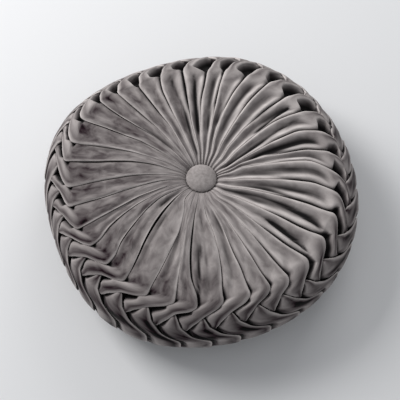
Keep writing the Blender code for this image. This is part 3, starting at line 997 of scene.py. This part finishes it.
def sew_cover():
    grids, start = [], 0
    for number, (points, share, run, hollow_shade, nap_shading) in cover_leaves():
        at = start + np.arange(run.size).reshape(run.shape)
        start += run.size
        quads = np.stack([at[:-1, :-1], at[1:, :-1], at[1:, 1:], at[:-1, 1:]], axis=-1)
        cloth = np.stack([(number + share) * PLEAT_PITCH, run], axis=-1)
        leaf = zip((points, quads, cloth, hollow_shade, nap_shading), (3, 4, 2, 1, 1))
        grids.append([grid.reshape(-1, size) for grid, size in leaf])
    corners, faces, cloth, *marks = (np.concatenate(part) for part in zip(*grids))
    data = bpy.data.meshes.new("pleated_cover")
    data.from_pydata(corners.tolist(), [], faces.tolist())
    layer = data.uv_layers.new(name="cloth")
    layer.uv.foreach_set("vector", cloth[faces.ravel()].astype(np.float32).ravel())
    for name, values in zip(("hollow_shade", "nap_light"), marks):
        layer = data.attributes.new(name, "FLOAT", "POINT")
        layer.data.foreach_set("value", values.astype(np.float32).ravel())
    closed_skin(data)
    return data


cover_mesh = sew_cover()

# %% [markdown]
# Velvet over a soft filling is never quite smooth. A small Geometry Nodes tree moves each
# point along its normal by a slow noise and a quick one. It is built once and serves the
# cover and the button with their own heights. The result is made a plain mesh, because a
# live modifier would be worked out again in every view.

# %% Geometry Nodes: ripples in the cloth
RIPPLE_INPUTS = (
    # name, value
    ("Slow Height", 0.5 * MM),
    ("Slow Scale", 45.0),
    ("Quick Height", 0.22 * MM),
    ("Quick Scale", 170.0),
    ("Seed", 3.0),
)
RIPPLE_DETAIL = 2.0
NOISE_MIDDLE = 0.5


def add_socket(tree, name, kind="Float", in_out="INPUT", value=None):
    socket = tree.interface.new_socket(name, in_out=in_out, socket_type="NodeSocket" + kind)
    if value is not None:
        socket.default_value = value


def add_node(tree, kind, inputs=None, **settings):
    """A new node's outputs, once it has these settings and these inputs."""
    node = tree.nodes.new(kind)
    for name, value in settings.items():
        setattr(node, name, value)
    set_inputs(node, inputs or {})
    return node.outputs


def add_math(tree, operation, *numbers):
    numbers = dict(enumerate(numbers))
    return add_node(tree, "ShaderNodeMath", numbers, operation=operation)["Value"]


def ripple_tree():
    tree = bpy.data.node_groups.new("cloth_ripple", "GeometryNodeTree")
    add_socket(tree, "Geometry", "Geometry")
    for name, value in RIPPLE_INPUTS:
        add_socket(tree, name, value=value)
    add_socket(tree, "Material", "Material")
    add_socket(tree, "Geometry", "Geometry", "OUTPUT")
    given = add_node(tree, "NodeGroupInput")
    heights = []
    for size in ("Slow", "Quick"):
        inputs = {"Scale": given[size + " Scale"], "W": given["Seed"], "Detail": RIPPLE_DETAIL}
        noise = add_node(tree, "ShaderNodeTexNoise", inputs, noise_dimensions="4D")
        centred = add_math(tree, "SUBTRACT", noise["Fac"], NOISE_MIDDLE)
        heights.append(add_math(tree, "MULTIPLY", centred, given[size + " Height"]))
    inputs = {
        0: add_node(tree, "GeometryNodeInputNormal")["Normal"],
        "Scale": add_math(tree, "ADD", *heights),
    }
    offset = add_node(tree, "ShaderNodeVectorMath", inputs, operation="SCALE")["Vector"]
    inputs = {"Geometry": given["Geometry"], "Offset": offset}
    moved = add_node(tree, "GeometryNodeSetPosition", inputs)["Geometry"]
    real = add_node(tree, "GeometryNodeRealizeInstances", {"Geometry": moved})["Geometry"]
    inputs = {"Geometry": real, "Material": given["Material"]}
    painted = add_node(tree, "GeometryNodeSetMaterial", inputs)["Geometry"]
    add_node(tree, "NodeGroupOutput", {"Geometry": painted})
    return tree


def made_plain(item, tree, values):
    """Runs the tree on the object with these inputs, and keeps the result as a plain mesh."""
    modifier = item.modifiers.new("ripple", "NODES")
    modifier.node_group = tree
    for socket in tree.interface.items_tree:
        if socket.in_out == "INPUT" and socket.name in values:
            modifier[socket.identifier] = values[socket.name]
    bpy.context.view_layer.update()
    evaluated = item.evaluated_get(bpy.context.evaluated_depsgraph_get())
    data = bpy.data.meshes.new_from_object(evaluated)
    item.modifiers.remove(modifier)
    item.data = data
    data.shade_smooth()


cloth_ripple = ripple_tree()
print("tree inputs:", [name for name, _ in RIPPLE_INPUTS])

# %% [markdown]
# Velvet is a dense pile. It looks dark where one looks into it and pale where the pile
# lies away from the eye, so it has patches with no edge to them, brighter folds at a
# glancing angle, and no gloss. The patches are a node group, shared by the cover and the
# button: a broad noise for where hands have brushed the nap, and a finer one for the
# crushed look. The two painted marks of each point are worked in here: painted light and
# shade on the nap, paler on a fold's edge, and painted shade that darkens a hollow.

# %% Shader node group: nap patches and painted light
NAP_INPUTS = (
    # name, value
    ("Patch Scale", 75.0),
    ("Fleck Scale", 260.0),
    ("Pile Scale", 1900.0),
    ("Hollow_shade", 0.0),
    ("Nap_light", 0.0),
)
NAP_NOISES = (
    # size, detail, distortion
    ("Patch", 4.0, 0.2),
    ("Fleck", 8.0, 0.4),
    ("Pile", 2.0, 0.0),
)
FLECK_SHARE = 0.64
NAP_CONTRAST = {"From Min": 0.33, "From Max": 0.67}
OPEN_TO_LIGHT = {"From Min": 0.03, "From Max": 0.37, "To Min": 1.0, "To Max": 0.0}
PILE_HEIGHT = 0.35


def nap_group():
    """Puts out the pile's paleness with painted light, how far it is clear of painted shade, and
    its height.
    """
    group = bpy.data.node_groups.new("nap_and_painted_light", "ShaderNodeTree")
    add_socket(group, "Vector", "Vector")
    for name, value in NAP_INPUTS:
        add_socket(group, name, value=value)
    for name in ("Nap And Light", "Unshaded", "Height"):
        add_socket(group, name, in_out="OUTPUT")
    given = add_node(group, "NodeGroupInput")
    noises = {}
    for size, detail, distortion in NAP_NOISES:
        inputs = {"Vector": given["Vector"], "Scale": given[size + " Scale"]}
        inputs.update({"Detail": detail, "Distortion": distortion})
        noises[size] = add_node(group, "ShaderNodeTexNoise", inputs)["Fac"]
    inputs = {"Factor": FLECK_SHARE, "A": noises["Patch"], "B": noises["Fleck"]}
    blend = add_node(group, "ShaderNodeMix", inputs, data_type="FLOAT")["Result"]
    crushed = add_node(group, "ShaderNodeMapRange", {**NAP_CONTRAST, "Value": blend})["Result"]
    nap_light = add_math(group, "ADD", given["Nap_light"], crushed)
    # Painted shade: the deeper a hollow, the less of the nap's colour is left.
    inputs = {**OPEN_TO_LIGHT, "Value": given["Hollow_shade"]}
    out_of_shade = add_node(group, "ShaderNodeMapRange", inputs, interpolation_type="SMOOTHSTEP")
    outputs = {
        "Nap And Light": add_math(group, "MULTIPLY", nap_light, out_of_shade["Result"]),
        "Unshaded": out_of_shade["Result"],
        "Height": add_math(group, "MULTIPLY_ADD", noises["Pile"], PILE_HEIGHT, noises["Fleck"]),
    }
    add_node(group, "NodeGroupOutput", outputs)
    return group


nap_and_painted_light = nap_group()
print("group inputs:", [name for name, _ in NAP_INPUTS])

# %% [markdown]
# The material turns the nap and its painted light into a colour between a dark and a pale
# one, and paints shade into it where the group marks a hollow. On the cover the pattern
# follows the cloth map and is drawn out along the pleats, the way that a hand strokes them.
# The button's points have no marks, and a missing mark reads as 0. The glancing brightness
# of the pile is the shader's own sheen.

# %% Velvet materials
# The first colour is painted shade for the hollows. The dark and the pale colour hold the nap's
# random patches and also its painted light and shade.
HOLLOW_SHADE_COLOUR = (0.010, 0.009, 0.009, 1.0)
DARK_NAP_AND_SHADE = (0.112, 0.096, 0.096, 1.0)
PALE_NAP_AND_HIGHLIGHT = (0.37, 0.336, 0.326, 1.0)
BUTTON_NAP = (0.210, 0.188, 0.182, 1.0)
STREAK_STRETCH = (1.0, 0.22, 1.0)
ROUGHNESS_BY_NAP = {"To Min": 0.95, "To Max": 0.78}
PILE_BUMP = {"Strength": 0.5, "Distance": 0.5 * MM}
VELVET_FINISH = {
    "Specular IOR Level": 0.15,
    "Sheen Weight": 0.22,
    "Sheen Roughness": 0.35,
    "Sheen Tint": (0.92, 0.89, 0.87, 1.0),
}


def velvet(name, dark, patch_scale, cloth_map=None):
    material = bpy.data.materials.new(name)
    material.use_nodes = True
    tree = material.node_tree
    if cloth_map:
        where = add_node(tree, "ShaderNodeUVMap", uv_map=cloth_map)["UV"]
    else:
        where = add_node(tree, "ShaderNodeTexCoord")["Object"]
    inputs = {"Vector": where, "Scale": STREAK_STRETCH if cloth_map else (1.0, 1.0, 1.0)}
    drawn_out = add_node(tree, "ShaderNodeMapping", inputs)["Vector"]
    inputs = {"Vector": drawn_out, "Patch Scale": patch_scale}
    for mark in ("hollow_shade", "nap_light"):
        reading = add_node(tree, "ShaderNodeAttribute", attribute_name=mark)
        inputs[mark.capitalize()] = reading["Fac"]
    nap_shading = add_node(tree, "ShaderNodeGroup", inputs, node_tree=nap_and_painted_light)
    # Painted light and shade on the nap move the colour towards the pale one or past the dark one.
    inputs = {"Factor": nap_shading["Nap And Light"], "A": dark, "B": PALE_NAP_AND_HIGHLIGHT}
    lit = add_node(tree, "ShaderNodeMix", inputs, data_type="RGBA", clamp_factor=False)
    # Painted shade in the hollows: the colour turns towards the shade colour.
    inputs = {"Factor": nap_shading["Unshaded"], "A": HOLLOW_SHADE_COLOUR, "B": lit["Result"]}
    colour = add_node(tree, "ShaderNodeMix", inputs, data_type="RGBA")["Result"]
    inputs = {**ROUGHNESS_BY_NAP, "Value": nap_shading["Nap And Light"]}
    rough = add_node(tree, "ShaderNodeMapRange", inputs)["Result"]
    bump = add_node(tree, "ShaderNodeBump", {**PILE_BUMP, "Height": nap_shading["Height"]})["Normal"]
    finish = {**VELVET_FINISH, "Base Color": colour, "Roughness": rough, "Normal": bump}
    set_inputs(tree.nodes["Principled BSDF"], finish)
    return material


cover_velvet = velvet("cover_velvet", DARK_NAP_AND_SHADE, 75.0, cloth_map="cloth")
button_velvet = velvet("button_velvet", BUTTON_NAP, 60.0)
print("materials:", cover_velvet.name, button_velvet.name)

# %% [markdown]
# The cover now becomes a piece: it takes the ripples and its material, rides on the one
# body of the model, and stands in for the plain solid.

# %% The cover


def add_piece(name, data, node, material, values):
    piece = add_object(name, data)
    made_plain(piece, cloth_ripple, {**values, "Material": material})
    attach(piece, "root")
    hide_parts(node)
    return piece


cover = add_piece("pleated_cover", cover_mesh, "cushion", cover_velvet, {})
print("cover points:", len(cover.data.vertices))

# %% [markdown]
# The button is a low dome with velvet drawn tight over it. On the real one the cloth is
# gathered underneath, which leaves short radial tucks just below the edge. The dome is
# turned from its section in rings of points, and the tucks are waves in the radius that
# fade out towards the top.

# %% The covered button
BUTTON_SECTION = (
    # radius, height over the cushion's middle
    (0.0, 49.6),
    (6.0, 49.3),
    (11.0, 48.4),
    (15.0, 46.9),
    (17.4, 45.2),
    (18.0, 44.1),
    (17.2, 43.4),
    (12.0, 39.4),
    (0.0, 39.0),
)
BUTTON_TUCKS = 26
BUTTON_SEGMENTS = 156
BUTTON_STEPS = 5
TUCK_DEPTH = 0.35 * MM
TUCKS_START = 46.6 * MM
TUCKS_FADE = 2.4 * MM
SMALLEST_RING = 0.2 * MM


def button_mesh():
    steps = (BUTTON_STEPS,) * (len(BUTTON_SECTION) - 1)
    ring = curve_weights(steps) @ np.array(BUTTON_SECTION) * MM
    radius, height = np.maximum(ring[1:-1, 0], SMALLEST_RING), ring[1:-1, 1] + SIDE_MIDDLE
    angle = np.linspace(0, 2 * math.pi, BUTTON_SEGMENTS, endpoint=False)
    low = smooth_step((TUCKS_START + SIDE_MIDDLE - height) / TUCKS_FADE)[:, None]
    wave = radius[:, None] - TUCK_DEPTH * low * (0.5 - 0.5 * np.cos(BUTTON_TUCKS * angle))
    points = np.stack(
        [wave * np.cos(angle), wave * np.sin(angle), height[:, None] + 0 * wave], axis=-1
    )
    mesh = bmesh.new()
    rows = [[mesh.verts.new(point) for point in row] for row in points]
    for upper, lower in zip(rows, rows[1:]):
        for i in range(BUTTON_SEGMENTS):
            after = (i + 1) % BUTTON_SEGMENTS
            mesh.faces.new((upper[i], lower[i], lower[after], upper[after]))
    for row, tip in ((rows[0], ring[0]), (rows[-1], ring[-1])):
        pole = mesh.verts.new((0.0, 0.0, tip[1] + SIDE_MIDDLE))
        for i in range(BUTTON_SEGMENTS):
            mesh.faces.new((row[i], row[(i + 1) % BUTTON_SEGMENTS], pole))
    bmesh.ops.recalc_face_normals(mesh, faces=mesh.faces)
    return plain_mesh("velvet_button", mesh)


ripples = {"Slow Height": 0.35 * MM, "Slow Scale": 70.0, "Quick Height": 0.12 * MM}
button = add_piece(
    "velvet_button", button_mesh(), "centre_button", button_velvet, ripples
)
print("button points:", len(button.data.vertices))
